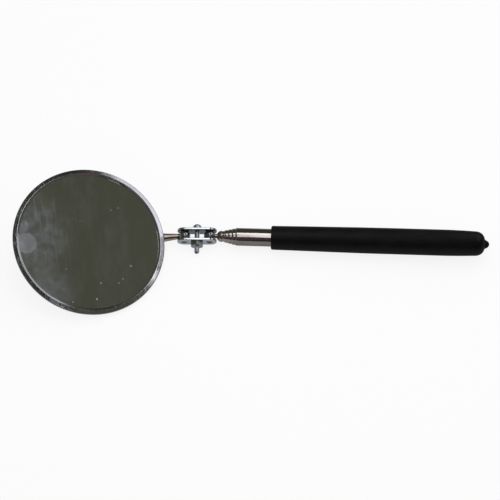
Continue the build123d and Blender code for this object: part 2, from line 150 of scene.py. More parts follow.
class Wire:
    """One output of a shader's node. Arithmetic on wires and numbers adds Math nodes."""

    def __init__(self, tree, socket=None):
        self.tree = tree
        self.socket = socket

    def node(self, kind, values=None, output=0, **settings):
        """A node with its settings made first, then its sockets' values or links."""
        made = self.tree.nodes.new(kind)
        for name, value in settings.items():
            setattr(made, name, value)
        for key, value in (values or {}).items():
            if isinstance(value, Wire):
                self.tree.links.new(value.socket, made.inputs[key])
            else:
                made.inputs[key].default_value = value
        return Wire(self.tree, made.outputs[output])

    def maths(self, operation, *values):
        return self.node("ShaderNodeMath", dict(enumerate(values)), operation=operation)

    def __add__(self, other):
        return self.maths("ADD", self, other)

    def __sub__(self, other):
        return self.maths("SUBTRACT", self, other)

    def __rsub__(self, other):
        return self.maths("SUBTRACT", other, self)

    def __mul__(self, other):
        return self.maths("MULTIPLY", self, other)

    def __truediv__(self, other):
        return self.maths("DIVIDE", self, other)

    __radd__ = __add__
    __rmul__ = __mul__

    def between(self, low, high, start=0.0, end=1.0):
        """A smooth step from start to end while this wire goes from low to high."""
        values = {"Value": self, 1: low, 2: high, 3: start, 4: end}
        return self.node("ShaderNodeMapRange", values, interpolation_type="SMOOTHSTEP")

    def blend(self, first, second):
        """A colour that goes from first to second as this wire goes from 0 to 1."""
        return self.node("ShaderNodeMix", {0: self, 6: first, 7: second}, output=2, data_type="RGBA")

    def split(self):
        """The three parts of a vector."""
        parts = self.node("ShaderNodeSeparateXYZ", {0: self}).socket.node
        return [Wire(self.tree, part) for part in parts.outputs]

    def reach(self, *centre):
        """Distance from a point."""
        return self.node("ShaderNodeVectorMath", {0: self, 1: centre}, output=1, operation="DISTANCE")

    def cloud(self, grain, detail=3.0, stretch=(1.0, 1.0, 1.0)):
        """Cloudy noise with a grain in millimetres, drawn out along the piece's own axes."""
        scale = tuple(1 / (grain * part) for part in stretch)
        point = self.node("ShaderNodeMapping", {"Vector": self, "Scale": scale})
        return self.node("ShaderNodeTexNoise", {"Vector": point, "Scale": 1.0, "Detail": detail})

    def scratches(self, grain, stretch, share):
        """Thin marks drawn out along one axis: 1 on the marks, 0 between them."""
        return self.cloud(grain, 1.0, stretch).between(0.5 + share, 0.56 + share)

    def bump(self, depth):
        """A normal from this height, with its depth in millimetres."""
        return self.node("ShaderNodeBump", {"Height": self, "Distance": depth * MM, "Strength": 1.0})


def new_finish(name, place, **constants):
    """A material with its constant inputs set, and the piece's own coordinates in millimetres."""
    material = bpy.data.materials.new(name)
    material.use_nodes = True
    shader = material.node_tree.nodes["Principled BSDF"]
    for socket, value in constants.items():
        shader.inputs[socket.replace("_", " ")].default_value = value
    wire = Wire(material.node_tree)
    values = {
        "Vector": wire.node("ShaderNodeTexCoord", output="Object"),
        "Location": place.translation,
        "Rotation": place.to_euler(),
        "Scale": (MM, MM, MM),
    }
    return material, wire.node("ShaderNodeMapping", values, vector_type="TEXTURE")


def feed(material, **wires):
    """Links wires to the material's shader, by socket name."""
    tree = material.node_tree
    shader = tree.nodes["Principled BSDF"]
    for socket, wire in wires.items():
        tree.links.new(wire.socket, shader.inputs[socket.replace("_", " ")])


arm_frame = place_frame(
    joints["mirror_roll"]["pos_m"],
    joints["mirror_roll"]["axis"],
    joints["mirror_ball_tilt"]["axis"],
)
mirror_frame = arm_frame @ Matrix.Translation(Vector((-ARM_REACH, 0, CASE_BACK)) * MM)
towards_glass = mirror_frame @ Matrix.Rotation(math.radians(-90), 4, "Y")

case_plate, point = new_finish("bright_case_plate", mirror_frame, Metallic=1.0)
x, y = point.split()[:2]
radius = point.node("ShaderNodeCombineXYZ", {0: x, 1: y}).reach(0, 0, 0)
smears = point.cloud(9.0, 4.0).between(0.4, 0.7)
rolled = (radius * 14.0).maths("SINE", radius * 14.0) * 0.5 + 0.5
wiped = point.scratches(0.5, (1.0, 9.0, 4.0), 0.08)
feed(
    case_plate,
    Base_Color=smears.blend((0.72, 0.71, 0.74, 1), (0.66, 0.67, 0.7, 1)),
    Roughness=smears * 0.1 + wiped * 0.12 + 0.07,
    Normal=(rolled * 0.4 + point.cloud(0.7, 2.0) * 0.6).bump(0.004),
)

dish = Outline(0, 0).line((0, 20)).straight(0, 39.05).arc((1.2, 39.05), -90)
dish.straight(2.5343, 40.25).arc(FOLD, -188.1, 20)
dish.straight(
    RIDGE[0] + RIDGE_RADIUS * math.cos(math.radians(FOLD_SLOPE)),
    RIDGE[1] + RIDGE_RADIUS * math.sin(math.radians(FOLD_SLOPE)),
)
dish.arc(RIDGE, -FOLD_SLOPE - LIP_SLOPE, 6).straight(3.54, 37.73, 0.03)
dish.line((3.51, 37.7), (3.35, 37.7), (3.32, 37.73), (3.32, 38.4))
dish.line((3.5, 38.8), (3.2, 40.35), (3.0, 40.35))
dish.line((2.784, 39.75), (1.2, 39.75)).arc((1.2, 39.05), 90, 4).line((0.5, 0))
fit(
    "case_dish",
    dish.turned(192),
    towards_glass,
    case_plate,
    "mirror_head",
    "mirror_case",
)

# --- Backing pad ---------------------------------------------------------------------------------
# A ring of grey card between the case and the glass's silvered back. It takes up the play and keeps
# the rivets' tails off the silvering.


def dress(node, material):
    """Gives a CAD node its finish."""
    mesh = nodes[node].data
    mesh.materials.clear()
    mesh.materials.append(material)


card, point = new_finish("grey_card", mirror_frame, Roughness=0.9)
feed(
    card,
    Base_Color=point.cloud(0.7, 6.0).blend((0.3, 0.29, 0.27, 1), (0.42, 0.4, 0.37, 1)),
    Normal=point.cloud(0.3, 4.0).bump(0.02),
)
dress("backing_pad", card)

# --- Silvered glass ------------------------------------------------------------------------------
# A disc of two-millimetre float glass with a ground edge, silvered on its back and lacquered grey. Its
# face carries dust, wiped streaks and a few dried drops from use.

lacquer, point = new_finish("grey_lacquer", mirror_frame, Metallic=1.0)
feed(
    lacquer,
    Base_Color=point.cloud(20.0, 3.0).blend((0.85, 0.88, 0.82, 1), (0.8, 0.82, 0.78, 1)),
    Roughness=point.cloud(14.0, 3.0).between(0.3, 0.8) * 0.1 + 0.05,
)
dress("mirror_silvering", lacquer)

GLASS_FACE = 3.3

glass, point = new_finish("silvered_glass", mirror_frame, IOR=1.5)
clouding = point.cloud(5.0, 6.0)
haze = clouding.between(0.35, 0.75)
left_film = point.reach(-34.0, 6.0, GLASS_FACE).between(34.0, 4.0) * (haze * 0.65 + 0.35)
low_film = point.reach(-25.0, -26.0, GLASS_FACE).between(19.0, 5.0) * (haze * 0.5 + 0.5)
round_mark = point.reach(-33.9, 2.2, GLASS_FACE).between(6.4, 5.0) * (clouding * 0.5 + 0.7)
small_mark = point.reach(-35.2, 11.9, GLASS_FACE).between(4.6, 3.4) * clouding.between(0.2, 0.6)
streaks = point.cloud(1.3, 3.0, (1.0, 14.0, 1.0)).between(0.5, 0.75)
streaks = streaks * point.reach(-28.0, 8.0, GLASS_FACE).between(34.0, 12.0)
wiped = point.cloud(6.0, 5.0, (1.0, 2.5, 1.0)).between(0.4, 0.75)
film = left_film * 0.16 + low_film * 0.13 + round_mark * 0.15 + small_mark * 0.08
film = film + streaks * 0.05
dust = film + wiped * 0.045
for across, along, size, strength in (
    (-13.6, -32.8, 0.5, 0.3),
    (-0.5, -32.4, 0.6, 0.5),
    (3.0, -23.7, 0.6, 0.3),
    (12.6, -24.6, 0.5, 0.25),
    (15.1, -22.5, 0.5, 0.3),
    (20.6, -15.7, 0.8, 0.22),
    (14.6, 16.7, 0.5, 0.22),
    (18.6, 17.5, 0.5, 0.22),
    (-3.1, 12.0, 0.4, 0.18),
    (-14.6, -14.2, 0.5, 0.18),
):
    ragged = point.reach(across, along, GLASS_FACE) + point.cloud(0.5, 2.0) * 0.5
    dust = dust + ragged.between(size + 0.35, size) * strength
feed(
    glass,
    Base_Color=(film * 9.0)
    .between(0.0, 1.0)
    .blend((0.8, 0.81, 0.73, 1), (0.84, 0.87, 0.95, 1)),
    Metallic=1 - dust,
    Roughness=haze * 0.02 + wiped * 0.015,
)
pane = Outline(1.31, 0).line((1.31, 39.2), (1.45, 39.35), (GLASS_FACE - 0.15, 39.35))
pane.line((GLASS_FACE, 39.2), (GLASS_FACE, 0))
fit(
    "glass_pane",
    pane.turned(128),
    towards_glass,
    glass,
    "mirror_head",
    "mirror_glass",
    crease=20.0,
)

# --- Mirror arm ----------------------------------------------------------------------------------
# A steel rod tapered towards the ball, drilled for its swivel pin and nickel plated. Its rear is
# hammered flat to lie on the case's back, with a rounded end.

nickel_arm, point = new_finish("nickel_arm", arm_frame, Metallic=1.0)
tarnish = point.cloud(1.6, 5.0).between(0.35, 0.75)
drawn = point.scratches(0.18, (9.0, 1.0, 1.0), 0.05)
feed(
    nickel_arm,
    Base_Color=tarnish.blend((0.64, 0.54, 0.49, 1), (0.5, 0.42, 0.37, 1)),
    Roughness=tarnish * 0.07 + drawn * 0.06 + 0.08,
    Normal=(point.cloud(0.9, 3.0, (3.0, 1.0, 1.0)) + drawn * 0.3).bump(0.003),
)
ROD_RADIUS = 2.3
FLAT_START = -14.4
FLAT_END = -26.67
FLAT_WIDTH = 3.5


def drawn_on(mesh, rim):
    """Extrudes a loop of edges: the new ring's vertices, still in place, and its free edges."""
    made = bmesh.ops.extrude_edge_only(mesh, edges=rim)["geom"]
    ring = [part for part in made if isinstance(part, bmesh.types.BMVert)]
    free = [part for part in made if isinstance(part, bmesh.types.BMEdge) and part.is_boundary]
    return ring, free


rod = Outline(-6.0, 0).line((-6.0, 1.03)).straight(-3.78, 1.03).line((-3.7, 1.1), (-3.7, 1.3))
rod.curve((-3.7, 1.43), (-3.76, 1.5), (-3.95, 1.53), 5).straight(-11.6, ROD_RADIUS)
arm = rod.turned(48)
rim = [edge for edge in arm.edges if edge.is_boundary]
swell, station = ROD_RADIUS, -11.6
forged = [(-12.1, 2.35), (-12.7, 2.62), (-13.3, 3.1), (-13.87, 3.4)]
forged += [(FLAT_START, FLAT_WIDTH), (FLAT_END, FLAT_WIDTH)]
for turn in (0.3, 0.6, 0.9, 1.15, 1.38):
    forged.append((FLAT_END - FLAT_WIDTH * math.sin(turn), FLAT_WIDTH * math.cos(turn)))
for reach, width in forged:
    ring, rim = drawn_on(arm, rim)
    bmesh.ops.translate(arm, verts=ring, vec=(reach - station, 0, 0))
    spread = width / swell
    bmesh.ops.scale(arm, verts=ring, vec=(1, spread, spread if reach >= FLAT_START else 1))
    swell, station = width, reach
bmesh.ops.contextual_create(arm, geom=rim)
for vert in arm.verts:
    if vert.co.x < -11.7:
        share = min(1.0, (-11.6 - vert.co.x) / 2.5)
        half = ROD_RADIUS - 1.5 * share * share * (3 - 2 * share)
        vert.co.z = max(-half, min(half, vert.co.z))
bmesh.ops.recalc_face_normals(arm, faces=arm.faces)
edges = [edge for edge in arm.edges if edge.calc_face_angle(0.0) > 0.7 and edge.verts[0].co.x < -13.0]
bmesh.ops.bevel(
    arm,
    geom=edges,
    offset=0.12,
    segments=2,
    profile=0.5,
    affect="EDGES",
    material=-1,
)
fit("forged_arm", arm, arm_frame, nickel_arm, "mirror_head", "mirror_arm")

# --- Arm rivets ----------------------------------------------------------------------------------
# Two steel rivets hold the arm's flat to the case. Their domed heads stand outside, and their tails
# are closed inside, under the glass.

rivet_steel, point = new_finish("rivet_steel", arm_frame, Metallic=1.0)
worn = point.cloud(0.5, 4.0).between(0.4, 0.7)
feed(
    rivet_steel,
    Base_Color=worn.blend((0.56, 0.55, 0.53, 1), (0.46, 0.45, 0.43, 1)),
    Roughness=worn * 0.15 + 0.16,
    Normal=point.cloud(0.25, 3.0).bump(0.006),
)
for number, station in enumerate((-18.87, -25.87), start=1):
    rivet = Outline(-1.8, 0).line((-1.8, 1.6), (-1.7, 1.78), (-1.35, 1.78), (-1.3, 1.0))
    rivet.straight(0.8, 1.0).line((0.8, 1.7)).curve((0.85, 1.86), (1.0, 1.78), (1.12, 1.66), 4)
    rivet.curve((1.45, 1.3), (1.68, 0.7), (1.7, 0), 8)
    outwards = Matrix.Translation((station * MM, 0, 0)) @ Matrix.Rotation(math.radians(90), 4, "Y")
    fit(
        f"domed_rivet_{number}",
        rivet.turned(32),
        arm_frame @ outwards,
        rivet_steel,
        "mirror_head",
        f"arm_rivet_{number}",
    )

# --- Mirror's ball and its pin -------------------------------------------------------------------
# A hardened ball is swaged on the pin that the arm swivels on. The pin keeps a small collar between
# the ball and the arm.

ball_steel, point = new_finish("ball_steel", arm_frame, Metallic=1.0)
grease = point.cloud(1.8, 4.0).between(0.35, 0.7)
ground = point.scratches(0.12, (6.0, 1.0, 1.0), 0.06)
feed(
    ball_steel,
    Base_Color=grease.blend((0.58, 0.59, 0.62, 1), (0.44, 0.44, 0.46, 1)),
    Roughness=grease * 0.12 + ground * 0.1 + 0.07,
    Normal=point.cloud(0.3, 3.0).bump(0.004),
)


def ball():
    """A ball with the small pips that turning leaves on its axis."""
    drawn = Outline(-3.1, 0).line((-3.1, 0.45), (-3.06, 0.5))
    return drawn.arc((0, 0), -161.4, 40).line((3.1, 0.45), (3.1, 0)).turned(64)


fit("bright_ball", ball(), arm_frame, ball_steel, "mirror_ball", "mirror_ball")

stud_steel, point = new_finish("stud_steel", arm_frame, Metallic=1.0)
stain = point.cloud(0.8, 4.0).between(0.35, 0.7)
feed(
    stud_steel,
    Base_Color=stain.blend((0.62, 0.6, 0.58, 1), (0.48, 0.45, 0.42, 1)),
    Roughness=stain * 0.12 + 0.13,
    Normal=point.cloud(0.2, 3.0, (0.3, 1.0, 1.0)).bump(0.006),
)
pin = Outline(-2.4, 0).line((-2.4, 1.45)).straight(-3.5, 1.48)
pin.curve((-3.58, 1.48), (-3.6, 1.44), (-3.6, 1.3), 4)
pin.line((-3.6, 1.0)).straight(-12.3, 1.0).line((-12.47, 0.85), (-12.47, 0))
fit(
    "collared_pin",
    pin.turned(40),
    arm_frame,
    stud_steel,
    "mirror_pin",
    "mirror_ball_pin",
)

# --- Handle's ball and its stud ------------------------------------------------------------------
# The same ball on a short stud, which runs back into the handle's tip piece and is fixed there.

ball_centres = [Vector(joints[name]["pos_m"]) for name in ("mirror_ball_swing", "handle_ball_swing")]
spin_axis = Vector(joints["section_2_spin"]["axis"])
handle_frame = place_frame(ball_centres[1], spin_axis, spin_axis.cross(Vector((0, 1, 0))))
fit("bright_ball_rear", ball(), handle_frame, ball_steel, "handle_ball", "handle_ball")
stud = Outline(2.4, 0).line((2.4, 1.42), (2.78, 1.42)).curve((2.95, 1.3), (3.1, 1.2), (3.4, 1.2), 5)
stud.straight(9.0, 1.2).line((9.1, 1.1), (9.1, 0))
fit("ball_stud", stud.turned(40), handle_frame, stud_steel, "section_5", "handle_ball_stud")

# --- Clamp plates --------------------------------------------------------------------------------
# Two plates stamped from thick strip with round ends, rumbled and zinc plated. A seat in each end
# holds a ball, and the screw passes through the middle.

clamp_z = Vector(joints["handle_ball_tilt"]["axis"])
clamp_y = Vector(joints["handle_ball_swing"]["axis"])
clamp_frame = place_frame(sum(ball_centres, Vector()) / 2, clamp_y.cross(clamp_z), clamp_z)

zinc, point = new_finish("zinc_plate", clamp_frame, Metallic=1.0)
mottle = point.cloud(1.3, 5.0).between(0.36, 0.66)
rumbled = point.cloud(0.35, 4.0)
side_y = point.split()[1]
# Painted shade: the plates' inner faces, in the gap between them, are painted dark, and made rougher too.
inner_painted_shade = side_y.maths("ABSOLUTE", side_y).between(2.75, 2.5) * (mottle * 0.3 + 0.7)
unshaded_zinc = mottle.blend((0.74, 0.81, 0.88, 1), (0.88, 0.94, 0.98, 1))
feed(
    zinc,
    Base_Color=inner_painted_shade.blend(unshaded_zinc, (0.24, 0.24, 0.23, 1)),
    Roughness=inner_painted_shade * 0.2 + mottle * 0.1 + rumbled * 0.06 + 0.08,
    Normal=(mottle * 0.6 + rumbled * 0.4).bump(0.006),
)
SEAT = 6.75
PLATE_INSIDE = 2.4
PLATE_OUTSIDE = 3.6
PLATE_EDGE = 3.85
EDGE_ROUND = 0.25


def widened(mesh, rim, rise, reach):
    """Draws a loop of edges on by a rise along y, each end's round at a new reach from its centre."""
    ring, rim = drawn_on(mesh, rim)
    for vert in ring:
        middle = Vector((math.copysign(SEAT, vert.co.x), vert.co.y, 0))
        spoke = vert.co - middle
        vert.co = middle + spoke * (reach / spoke.length) + Vector((0, rise, 0))
    return rim


def bored(mesh, centre, *steps):
    """The wall of a hole through the plate, from its first (y, radius) to its last: its two rims."""
    upright = Matrix.Rotation(math.radians(90), 4, "X")
    ring = bmesh.ops.create_circle(mesh, segments=48, radius=steps[0][1], matrix=upright)["verts"]
    bmesh.ops.translate(mesh, verts=ring, vec=(centre, steps[0][0], 0))
    first = rim = list({edge for vert in ring for edge in vert.link_edges})
    for (height, radius), (rise, reach) in zip(steps, steps[1:]):
        ring, rim = drawn_on(mesh, rim)
        bmesh.ops.translate(mesh, verts=ring, vec=(-centre, rise - height, 0))
        bmesh.ops.scale(mesh, verts=ring, vec=(reach / radius, 1, reach / radius))
        bmesh.ops.translate(mesh, verts=ring, vec=(centre, 0, 0))
    return first, rim


for node, side, place in (
    ("clamp_plate_head", "head_side_plate", clamp_frame),
    ("clamp_plate_nut", "nut_side_plate", clamp_frame @ Matrix.Rotation(math.pi, 4, "X")),
):
    strip = Outline(-SEAT, -3.77).line((SEAT, -3.77)).arc((SEAT, 0), 180, 24).line((-SEAT, 3.77))
    plate = strip.arc((-SEAT, 0), 180, 24).mesh
    bmesh.ops.remove_doubles(plate, verts=plate.verts, dist=0.001)
    bmesh.ops.translate(plate, verts=plate.verts, vec=(0, PLATE_INSIDE, 0))
    under = rim = list(plate.edges)
    rim = widened(plate, rim, 0.02, 3.82)
    for rise in (0.06, 0.06, 0.76, 0.06):
        rim = widened(plate, rim, rise, PLATE_EDGE)
    for turn in (22.5, 45.0, 67.5, 90.0):
        lift = math.sin(math.radians(turn)) - math.sin(math.radians(turn - 22.5))
        reach = PLATE_EDGE - EDGE_ROUND + EDGE_ROUND * math.cos(math.radians(turn))
        rim = widened(plate, rim, EDGE_ROUND * lift - (0.01 if turn == 90.0 else 0), reach)
    screw_hole = ((PLATE_INSIDE, 1.6), (2.45, 1.55), (3.52, 1.55), (PLATE_OUTSIDE, 1.63))
    seat = ((PLATE_INSIDE, 1.99), (2.5, 1.88), (2.58, 1.75), (3.5, 1.75), (PLATE_OUTSIDE, 1.85))
    holes = [bored(plate, 0, *screw_hole)]
    for centre in (-SEAT, SEAT):
        holes.append(bored(plate, centre, *seat))
    level = rim[0].verts[0].co.y
    for first, last in holes:
        for edge in last:
            for vert in edge.verts:
                vert.co.y = level
    faces = ([under, *[first for first, last in holes]], [rim, *[last for first, last in holes]])
    for loops in faces:
        edges = [edge for loop in loops for edge in loop]
        bmesh.ops.triangle_fill(plate, edges=edges, use_beauty=True)
    bmesh.ops.recalc_face_normals(plate, faces=plate.faces)
    fit(side, plate, place, zinc, "clamp", node)

# --- Clamp screw ---------------------------------------------------------------------------------
# A slotted, domed screw that pulls the plates on to the balls. Its thread runs on past the nut, and
# its zinc plate has dulled.

screw_zinc, point = new_finish("screw_zinc", clamp_frame, Metallic=1.0)
dulled = point.cloud(0.9, 5.0).between(0.35, 0.7)
feed(
    screw_zinc,
    Base_Color=dulled.blend((0.82, 0.88, 0.94, 1), (0.66, 0.71, 0.76, 1)),
    Roughness=dulled * 0.14 + 0.1,
    Normal=point.cloud(0.25, 4.0).bump(0.004),
)
PITCH = 0.635
TURNS = 20
TURN_STEPS = 32
SCREW_END = -9.9
SLOT_HALF = 0.4


def cut_away(mesh, point, normal):
    """Cuts off what lies beyond a plane, and closes the cut."""
    cut = bmesh.ops.bisect_plane(
        mesh,
        geom=[*mesh.verts, *mesh.edges, *mesh.faces],
        plane_co=point,
        plane_no=normal,
        clear_outer=True,
    )["geom_cut"]
    rim = [part for part in cut if isinstance(part, bmesh.types.BMEdge)]
    bmesh.ops.contextual_create(mesh, geom=rim)


thread = Outline(2.5 - PITCH * TURNS, 1.42).line(
    (2.5 - PITCH * (TURNS - 0.08), 1.42),
    (2.5 - PITCH * (TURNS - 0.46), 1.08),
    (2.5 - PITCH * (TURNS - 0.62), 1.08),
    (2.5 - PITCH * (TURNS - 1), 1.42),
)
screw = thread.mesh
bmesh.ops.spin(
    screw,
    geom=[*screw.verts, *screw.edges],
    cent=(0, 0, 0),
    axis=(1, 0, 0),
    dvec=(PITCH / TURN_STEPS, 0, 0),
    angle=2 * math.pi * TURNS,
    steps=TURN_STEPS * TURNS,
    use_merge=False,
)
bmesh.ops.remove_doubles(screw, verts=screw.verts, dist=0.002)
cut_away(screw, (SCREW_END, 0, 0), (-1, 0, 0))
cut_away(screw, (2.6, 0, 0), (1, 0, 0))
for vert in screw.verts:
    limit = vert.co.x - SCREW_END + 0.98
    reach = vert.co.yz.length
    if reach > limit:
        vert.co.yz = vert.co.yz * (limit / reach)
bmesh.ops.recalc_face_normals(screw, faces=screw.faces)
head = Outline(2.45, 0).line((2.45, 1.4)).straight(3.6, 1.4)
head.line((3.6, 2.2), (3.7, 2.35)).straight(5.15, 2.35)
head.curve((5.2, 2.35), (5.24, 2.32), (5.28, 2.3), 3).curve((5.45, 2.2), (5.62, 2.08), (5.75, 1.98), 4)
head.line((5.75, 0))
lands = Outline(5.65, 0).line((5.65, 1.93), (5.75, 1.975)).curve((6.25, 1.56), (6.65, 0.8), (6.65, 0), 12)
dome = lands.turned(64)
halves = [dome, dome.copy()]
for half, keep in zip(halves, (-1, 1)):
    cut_away(half, (0, 0, -SLOT_HALF * keep), (0, 0, keep))
for part in (head.turned(64), *halves):
    bmesh.ops.recalc_face_normals(part, faces=part.faces)
    joined = bpy.data.meshes.new("screw_part")
    part.to_mesh(joined)
    part.free()
    screw.from_mesh(joined)
    bpy.data.meshes.remove(joined)
head_outwards = clamp_frame @ Matrix.Rotation(math.radians(90), 4, "Z")
fit("slotted_screw", screw, head_outwards, screw_zinc, "clamp", "clamp_screw", crease=28.0)

# --- Clamp nut -----------------------------------------------------------------------------------
# A hexagon nut, turned and milled, with its corners chamfered. Its plating has gone dull and dark.

nut_zinc, point = new_finish("nut_zinc", clamp_frame, Metallic=1.0)
dark = point.cloud(0.8, 5.0).between(0.3, 0.7)
feed(
    nut_zinc,
    Base_Color=dark.blend((0.58, 0.61, 0.58, 1), (0.42, 0.45, 0.42, 1)),
    Roughness=dark * 0.16 + 0.18,
    Normal=point.cloud(0.3, 4.0).bump(0.012),
)
NUT_ACROSS_FLATS = 6.35
blank = Outline(3.62, 1.75).line((3.6, 1.85)).straight(3.6, 3.2).line((3.66, 3.8), (5.5, 3.8))
blank.line((5.867, 3.35), (6.0, 3.216)).straight(6.0, 1.8).line((5.65, 1.45)).straight(3.95, 1.45)
nut = blank.line((3.62, 1.75)).turned(96)
for turn in range(6):
    flat_normal = Vector((0, math.cos(turn * math.pi / 3), math.sin(turn * math.pi / 3)))
    cut_away(nut, flat_normal * NUT_ACROSS_FLATS / 2, flat_normal)
bmesh.ops.recalc_face_normals(nut, faces=nut.faces)
nut_outwards = clamp_frame @ Matrix.Rotation(math.radians(-90), 4, "Z")
fit("hexagon_nut", nut, nut_outwards, nut_zinc, "clamp", "clamp_nut", crease=20.0)

# --- Handle tubes --------------------------------------------------------------------------------
# Five drawn brass tubes, nickel plated, that slide in each other. Each nose is rolled in to guide
# the next tube, and each sliding tube has a neck near its rear for a friction sleeve.

nickel, point = new_finish("nickel_tube", handle_frame, Metallic=1.0)
bloom = point.cloud(4.0, 4.0, (3.0, 1.0, 1.0)).between(0.35, 0.7)
drawn = point.scratches(0.15, (60.0, 1.0, 1.0), 0.07)
feed(
    nickel,
    Base_Color=bloom.blend((0.68, 0.62, 0.6, 1), (0.6, 0.54, 0.51, 1)),
    Roughness=bloom * 0.06 + drawn * 0.1 + 0.07,
    Normal=(point.cloud(2.0, 3.0, (12.0, 1.0, 1.0)) + drawn * 0.15).bump(0.003),
)
TUBE_WALL = 0.3
OUTER_RADIUS = 4.775
RADIUS_STEP = 0.45
OUTER_FRONT = 14.06
FRONT_STEP = 1.97
OUTER_REAR = 144.06
FIRST_REAR = 137.56
REAR_STEP = 7.3
NECK_DEPTH = 0.21


def necked(tube, number, outside):
    """The tube's rear end drawn on: its neck, its lip and its bore back past the neck."""
    rear = FIRST_REAR - (number - 2) * REAR_STEP
    neck = [(rear - 6.8, 0), (rear - 6.5, -NECK_DEPTH), (rear - 1.3, -NECK_DEPTH), (rear - 1.0, 0)]
    for station, depth in neck:
        tube.line((station, outside + depth))
    tube.line((rear - 0.05, outside), (rear, outside - 0.05), (rear, outside - TUBE_WALL))
    for station, depth in reversed(neck):
        tube.line((station, outside - TUBE_WALL + depth))


for number in range(1, 6):
    outside = OUTER_RADIUS - RADIUS_STEP * (number - 1)
    if number < 5:
        front = OUTER_FRONT - FRONT_STEP * (number - 1)
        guide = outside - 0.42
        tube = Outline(front, outside - 0.32).curve(
            (front, outside - 0.12), (front + 0.42, outside), (front + 1.0, outside), 10
        )
        tube.line((front + 1.1, outside))
    else:
        front, guide = 6.62, 2.555
        tube = Outline(front, 2.6).line((front, 2.83), (front + 0.03, 2.855), (7.5, 2.855))
        tube.curve((7.58, 2.855), (7.64, 2.975), (7.78, 2.975), 5).line((7.84, 2.975))
    if number == 1:
        tube.line((OUTER_REAR, outside), (OUTER_REAR, outside - TUBE_WALL))
    else:
        necked(tube, number, outside)
    if number < 5:
        tube.line((front + 2.3, outside - TUBE_WALL), (front + 2.2, guide), (front + 0.08, guide))
        tube.line((front, guide + 0.04), (front, outside - 0.32))
    else:
        tube.line((7.72, 2.675), (7.6, 2.555), (front, 2.555), (front, 2.6))
    node = "outer_tube" if number == 1 else f"tube_{number}"
    body = "handle" if number == 1 else f"section_{number}"
    fit(f"drawn_tube_{number}", tube.turned(96), handle_frame, nickel, body, node)

# --- Friction sleeves and rear plug --------------------------------------------------------------
# Split sleeves of spring brass sit in the tubes' necks and hold each section where it is pulled to.
# An aluminium plug closes the outer tube's rear under the grip.

brass, point = new_finish("spring_brass", handle_frame, Metallic=1.0)
feed(
    brass,
    Base_Color=point.cloud(1.0, 4.0).blend((0.72, 0.55, 0.26, 1), (0.6, 0.43, 0.2, 1)),
    Roughness=point.cloud(0.8, 4.0) * 0.2 + 0.2,
)
for number in (2, 3, 4, 5):
    dress(f"friction_sleeve_{number}", brass)
aluminium, point = new_finish("turned_aluminium", handle_frame, Metallic=1.0)
feed(
    aluminium,
    Base_Color=point.cloud(1.0, 4.0).blend((0.7, 0.7, 0.71, 1), (0.6, 0.6, 0.61, 1)),
    Roughness=point.cloud(0.6, 4.0) * 0.2 + 0.25,
)
dress("rear_plug", aluminium)

# --- Tip piece -----------------------------------------------------------------------------------
# A turned brass nose, nickel plated, that closes the smallest tube and holds the ball's stud. The
# tube is crimped into its groove.

tip_nickel, point = new_finish("nickel_tip", handle_frame, Metallic=1.0)
rings = point.scratches(0.1, (1.0, 30.0, 30.0), 0.04)
brown = point.cloud(1.2, 5.0).between(0.35, 0.7)
feed(
    tip_nickel,
    Base_Color=brown.blend((0.62, 0.58, 0.54, 1), (0.5, 0.44, 0.4, 1)),
    Roughness=brown * 0.14 + rings * 0.1 + 0.16,
    Normal=(point.cloud(0.5, 3.0) + rings * 0.2).bump(0.006),
)
tip = Outline(4.14, 1.21).line((4.1, 1.27), (4.1, 1.35))
tip.curve((4.1, 1.8), (5.02, 3.025), (6.4, 3.025), 14)
tip.line((6.5, 3.025), (6.57, 3.0), (6.6, 2.93), (6.6, 2.535), (7.6, 2.535), (7.72, 2.655))
tip.line((11.0, 2.655), (11.1, 2.55), (11.1, 1.21), (4.14, 1.21))
fit("turned_tip", tip.turned(72), handle_frame, tip_nickel, "section_5", "tip_ferrule")

# --- Grip ----------------------------------------------------------------------------------------
# Black vinyl, built up by dipping the tube: it swells towards the rear, rounds off over the plug and
# ends in the drip that ran off last. Handling has left faint scuffs on it.

vinyl, point = new_finish("dipped_vinyl", handle_frame, Specular_IOR_Level=0.38)
blotches = point.cloud(5.0, 5.0, (2.0, 1.0, 1.0)).between(0.4, 0.7)
rubbed = point.scratches(0.5, (5.0, 1.0, 1.0), 0.12)
fine = point.cloud(0.35, 4.0)
feed(
    vinyl,
    Base_Color=(blotches * 0.5 + rubbed * 0.5).blend(
        (0.0025, 0.0025, 0.003, 1), (0.007, 0.007, 0.0075, 1)
    ),
    Roughness=blotches * 0.08 + rubbed * 0.1 + fine * 0.05 + 0.4,
    Normal=(point.cloud(3.0, 3.0) * 0.7 + fine * 0.3).bump(0.03),
)
GRIP_BORE = 4.795
GRIP_RADIUS = 7.05
GRIP_END = 147.85
coat = Outline(144.88, 0).line((144.88, GRIP_BORE)).straight(33.2, GRIP_BORE)
coat.line((33.16, 4.84), (33.16, 5.54)).arc((34.06, 5.54), -86, 8)
coat.curve((55.45, 6.686), (77.74, GRIP_RADIUS), (100.03, GRIP_RADIUS), 40)
coat.line((112.0, GRIP_RADIUS), (125.03, GRIP_RADIUS))
coat.curve((134.03, GRIP_RADIUS), (141.27, 6.675), (143.03, 6.6), 18)
coat.curve((145.2, 6.51), (147.2, 5.4), (GRIP_END, 3.1), 14)
coat.curve((147.98, 2.72), (148.02, 2.52), (148.35, 2.34), 6)
coat.curve((149.3, 1.9), (150.4, 1.25), (150.4, 0), 12)
skin = coat.turned(96)
for vert in skin.verts:
    ripple = noise.noise(vert.co * 0.11) * 0.6 + noise.noise(vert.co * 0.3) * 0.25
    if vert.co.yz.length > 4.9 and vert.co.x > 33.3:
        vert.co.yz = vert.co.yz * (1 + 0.04 * ripple / vert.co.yz.length)
    sag = max(0.0, min(1.0, (vert.co.x - GRIP_END) / 0.5))
    vert.co.y -= 0.35 * sag
fit("dipped_coat", skin, handle_frame, vinyl, "handle", "grip")
